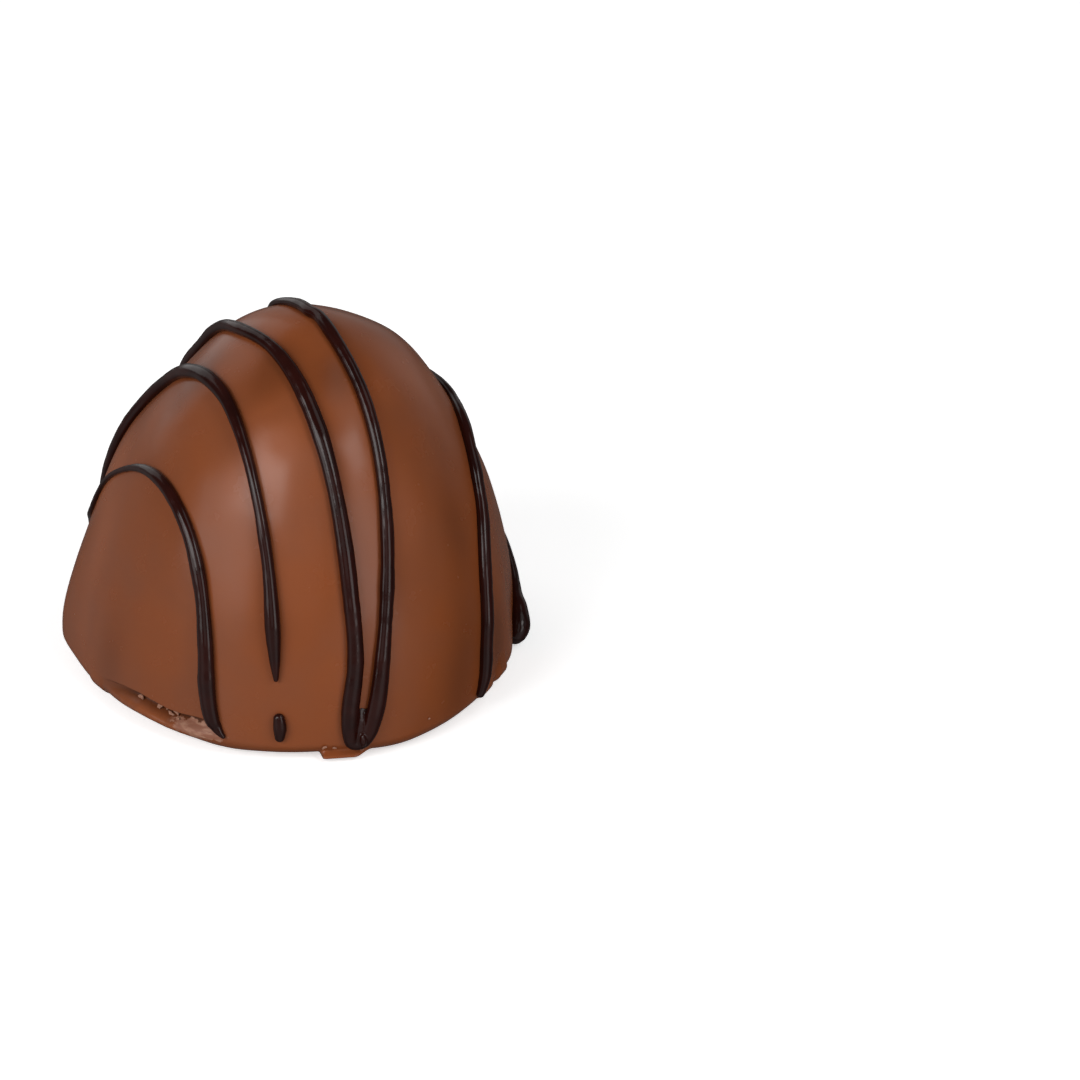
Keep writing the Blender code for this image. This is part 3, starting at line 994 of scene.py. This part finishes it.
class TruffleStageSettings(bpy.types.PropertyGroup):
    floor: FloatVectorProperty(
        name="Floor", description="Colour of the plain floor", subtype="COLOR",
        size=3, min=0.0, max=1.0, default=(0.96, 0.96, 0.96),
    )
    glow: FloatProperty(
        name="Glow", description="How far the floor is lit from below, like a light table",
        min=0.0, max=1.0, default=0.55,
    )
    left: FloatProperty(
        name="Left softbox", description="Radiance of the large softbox at the front left",
        min=0.0, default=5.4,
    )
    low: FloatProperty(
        name="Low softbox", description="Radiance of the dimmer softbox under the left one",
        min=0.0, default=2.3,
    )
    right: FloatProperty(
        name="Right softbox", description="Radiance of the small softbox at the front right",
        min=0.0, default=5.4,
    )
    right_low: FloatProperty(
        name="Low right softbox", description="Radiance of the tall softbox under the right one",
        min=0.0, default=2.5,
    )
    front: FloatProperty(
        name="Front panel", description="Radiance of the dim panel over the camera",
        min=0.0, default=0.6,
    )
    rear: FloatProperty(
        name="Rear softbox", description="Radiance of the small softbox behind, at the left",
        min=0.0, default=0.8,
    )
    side: FloatProperty(
        name="Side panel", description="Radiance of the wide dim panel at the right",
        min=0.0, default=0.25,
    )
    crown: FloatProperty(
        name="Crown panel", description="Radiance of the panel above, to the right",
        min=0.0, default=1.0,
    )
    room: FloatProperty(
        name="Room", description="Brightness of the dim room all round",
        min=0.0, max=3.0, default=0.11,
    )
    wall: FloatProperty(
        name="Back wall", description="Brightness of the low wall behind",
        min=0.0, max=3.0, default=0.40,
    )
    ground: FloatProperty(
        name="Ground", description="Brightness of the table in front",
        min=0.0, max=3.0, default=0.42,
    )
    bounce: FloatProperty(
        name="Bounce", description="Brightness of the lit patches of table at the front corners",
        min=0.0, max=5.0, default=0.45,
    )
    lens: FloatProperty(
        name="Lens", description="Focal length of the camera, in mm", unit="CAMERA",
        min=10.0, max=400.0, default=120.0,
    )


def ride(piece, slot_name, *nodes):
    """The piece rides on the body and stands in for the nodes; slot_name is not used."""
    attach(piece, BODY)
    if nodes:
        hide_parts(*nodes)


class TRUFFLE_OT_dip_coat(bpy.types.Operator):
    """Dip the truffle: its fine coat with the broken foot"""

    bl_idname = "truffle.dip_coat"
    bl_label = "Dip the coat"

    def execute(self, context):
        settings = context.scene.truffle_coat
        coat = make_coat(milk_chocolate(settings), settings)
        ride(coat, "milk_chocolate", "truffle_body")
        return {"FINISHED"}


class TRUFFLE_OT_break_foot(bpy.types.Operator):
    """Add the small broken flakes in the crease of the foot"""

    bl_idname = "truffle.break_foot"
    bl_label = "Break the foot"

    def execute(self, context):
        crumbs = make_crumbs(broken_chocolate(context.scene.truffle_coat))
        ride(crumbs, "milk_chocolate")
        return {"FINISHED"}


class TRUFFLE_OT_pipe_drizzle(bpy.types.Operator):
    """Pipe every strand of the dark drizzle onto the coat"""

    bl_idname = "truffle.pipe_drizzle"
    bl_label = "Pipe the drizzle"

    def execute(self, context):
        settings = context.scene.truffle_drizzle
        material = dark_chocolate(settings)
        for seed, (name, routes, fused) in enumerate(STRANDS):
            strand = make_strand(name, routes, seed, fused, material, settings.thickness)
            ride(strand, "dark_chocolate", name)
        return {"FINISHED"}


def direction(azimuth, elevation):
    """A unit vector; azimuth 0 is in front, 90 to the right."""
    turn, tilt = math.radians(azimuth), math.radians(elevation)
    return Vector(
        (math.sin(turn) * math.cos(tilt), -math.cos(turn) * math.cos(tilt), math.sin(tilt))
    )


def room_light(settings):
    """The dim room: a paler wall low behind, a pale table in front and left, two lit patches."""
    world = bpy.data.worlds.new("room")
    world.cycles.sampling_method = "NONE"
    recipe = Recipe(world)
    way = recipe.node("ShaderNodeTexCoord", output="Generated")
    right, back, up = (recipe.part(way, axis) for axis in range(3))
    wall = recipe.ramp(back, *WALL_BACK) * (1 - recipe.ramp(up, *WALL_TOP))
    below = 1 - recipe.ramp(up, *TABLE_EDGE)
    left = 1 - recipe.ramp(right, *TABLE_LEFT)
    table = (1 - recipe.ramp(back, *TABLE_FRONT)) + left * TABLE_LEFT_SHARE
    ground = below * table * settings.ground
    for azimuth, elevation, share in BOUNCES:
        near = recipe.vector("DOT_PRODUCT", way, direction(azimuth, elevation), output="Value")
        ground = ground + recipe.ramp(near, *BOUNCE_EDGE) * (settings.bounce * share)
    strength = wall * (1 - below) * settings.wall + ground + settings.room
    background = recipe.node("ShaderNodeBackground", None, {"Strength": strength})
    recipe.node("ShaderNodeOutputWorld", None, {"Surface": background})
    return world


def add_softbox(name, azimuth, elevation, width, height, radiance, target):
    """A rectangular light that faces the target."""
    way = direction(azimuth, elevation)
    light = bpy.data.lights.new(name, "AREA")
    light.shape = "RECTANGLE"
    light.size, light.size_y = width, height
    light.energy = radiance * math.pi * width * height
    lamp = place_in_scene(name, light)
    lamp.location = target + way * SOFTBOX_DISTANCE
    lamp.rotation_euler = way.to_track_quat("Z", "Y").to_euler()
    lamp.visible_camera = False


def add_camera(lens):
    """The camera: in front, a little above, with the truffle at the left of its view."""
    data = bpy.data.cameras.new("view")
    data.lens = lens
    data.clip_start, data.clip_end = CAMERA_CLIP
    camera = place_in_scene("view", data)
    forward = Vector((0, math.cos(CAMERA_ELEVATION), -math.sin(CAMERA_ELEVATION)))
    up = Vector((0, math.sin(CAMERA_ELEVATION), math.cos(CAMERA_ELEVATION)))
    start = Vector(SHIFT) + Vector((CAMERA_RIGHT, 0, 0)) + up * CAMERA_UP
    camera.location = start - forward * CAMERA_DISTANCE
    camera.rotation_euler = (math.pi / 2 - CAMERA_ELEVATION, 0, 0)
    bpy.context.scene.camera = camera


class TRUFFLE_OT_set_stage(bpy.types.Operator):
    """Set the pale floor, the soft lights and the camera"""

    bl_idname = "truffle.set_stage"
    bl_label = "Set the stage"

    def execute(self, context):
        settings = context.scene.truffle_stage
        low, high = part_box("truffle_body")
        middle = (low + high) / 2
        corners = [
            (right * FLOOR_HALF, back * FLOOR_HALF, low.z)
            for right, back in ((-1, -1), (1, -1), (1, 1), (-1, 1))
        ]
        floor = add_object("floor", corners, [(0, 1, 2, 3)], floor_finish(settings))
        # The card is brighter than what the truffle mirrors and takes light from.
        floor.visible_diffuse = False
        floor.visible_glossy = False
        for name, *placing in SOFTBOXES:
            add_softbox(name, *placing, getattr(settings, name), middle)
        context.scene.world = room_light(settings)
        context.scene.view_settings.view_transform = "Standard"
        add_camera(settings.lens)
        return {"FINISHED"}


class TRUFFLE_PT_looks(bpy.types.Panel):
    """Sizes, colours and steps of the truffle's looks"""

    bl_label = "Truffle"
    bl_idname = "TRUFFLE_PT_looks"
    bl_space_type = "VIEW_3D"
    bl_region_type = "UI"
    bl_category = "Truffle"

    def draw(self, context):
        for operator in OPERATORS:
            self.layout.operator(operator.bl_idname)
        for name in SETTINGS:
            group = getattr(context.scene, name)
            box = self.layout.box()
            for key in group.__annotations__:
                box.prop(group, key)


SETTINGS = {
    "truffle_coat": TruffleCoatSettings,
    "truffle_drizzle": TruffleDrizzleSettings,
    "truffle_stage": TruffleStageSettings,
}
OPERATORS = (
    TRUFFLE_OT_dip_coat,
    TRUFFLE_OT_break_foot,
    TRUFFLE_OT_pipe_drizzle,
    TRUFFLE_OT_set_stage,
)
CLASSES = (*SETTINGS.values(), *OPERATORS, TRUFFLE_PT_looks)


def register():
    """Adds the settings, operators and panel to Blender."""
    for cls in CLASSES:
        bpy.utils.register_class(cls)
    for name, cls in SETTINGS.items():
        setattr(bpy.types.Scene, name, PointerProperty(type=cls))


def unregister():
    """Takes them away again."""
    for name in SETTINGS:
        delattr(bpy.types.Scene, name)
    for cls in reversed(CLASSES):
        bpy.utils.unregister_class(cls)


def main():
    """Makes every piece and the stage."""
    register()
    bpy.ops.truffle.dip_coat()
    bpy.ops.truffle.break_foot()
    bpy.ops.truffle.pipe_drizzle()
    bpy.ops.truffle.set_stage()


if __name__ == "__main__":
    main()
